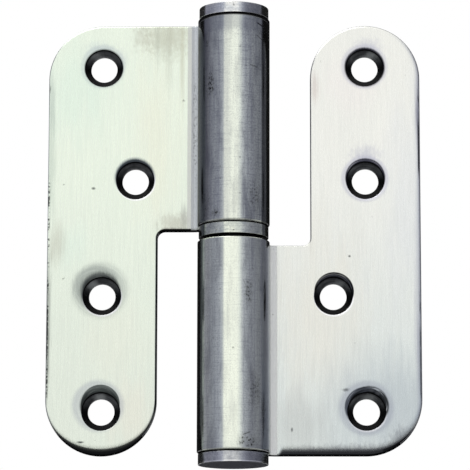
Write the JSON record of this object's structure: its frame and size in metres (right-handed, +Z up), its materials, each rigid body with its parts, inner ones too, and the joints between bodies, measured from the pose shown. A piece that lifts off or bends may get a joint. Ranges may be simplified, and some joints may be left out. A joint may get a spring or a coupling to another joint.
{
  "type": "lift off hinge",
  "caption": "Lift off door hinge: round-cornered leaves with countersunk holes, rolled knuckles, a standing pin and a bearing ring.",
  "frame": {"origin": "on the pin axis at half the height of the leaves, which is the middle of the hinge's box", "axes": "+Z up along the pin, the way the door leaf lifts off; +X towards the frame leaf; the countersunk faces look towards -Y"},
  "size_m": [0.0942, 0.018, 0.116],
  "materials": {
    "leaf_steel": "satin, brushed along the pin",
    "turned_steel": "turned",
    "pin_steel": "ground"
  },
  "bodies": {
    "frame": {"frame_leaf": "leaf_steel", "hinge_pin": "pin_steel", "lower_plug": "turned_steel"},
    "ring": {"bearing_ring": "turned_steel"},
    "door": {"door_leaf": "leaf_steel", "upper_plug": "turned_steel"}
  },
  "joints": [
    {"name": "swing", "type": "hinge", "parent": "frame", "child": "ring", "pos_m": [0, 0, 0], "axis": [0, 0, 1], "range_deg": [-130, 180]},
    {"name": "lift_off", "type": "slide", "parent": "ring", "child": "door", "axis": [0, 0, 1], "range_m": [0, 0.043]}
  ]
}
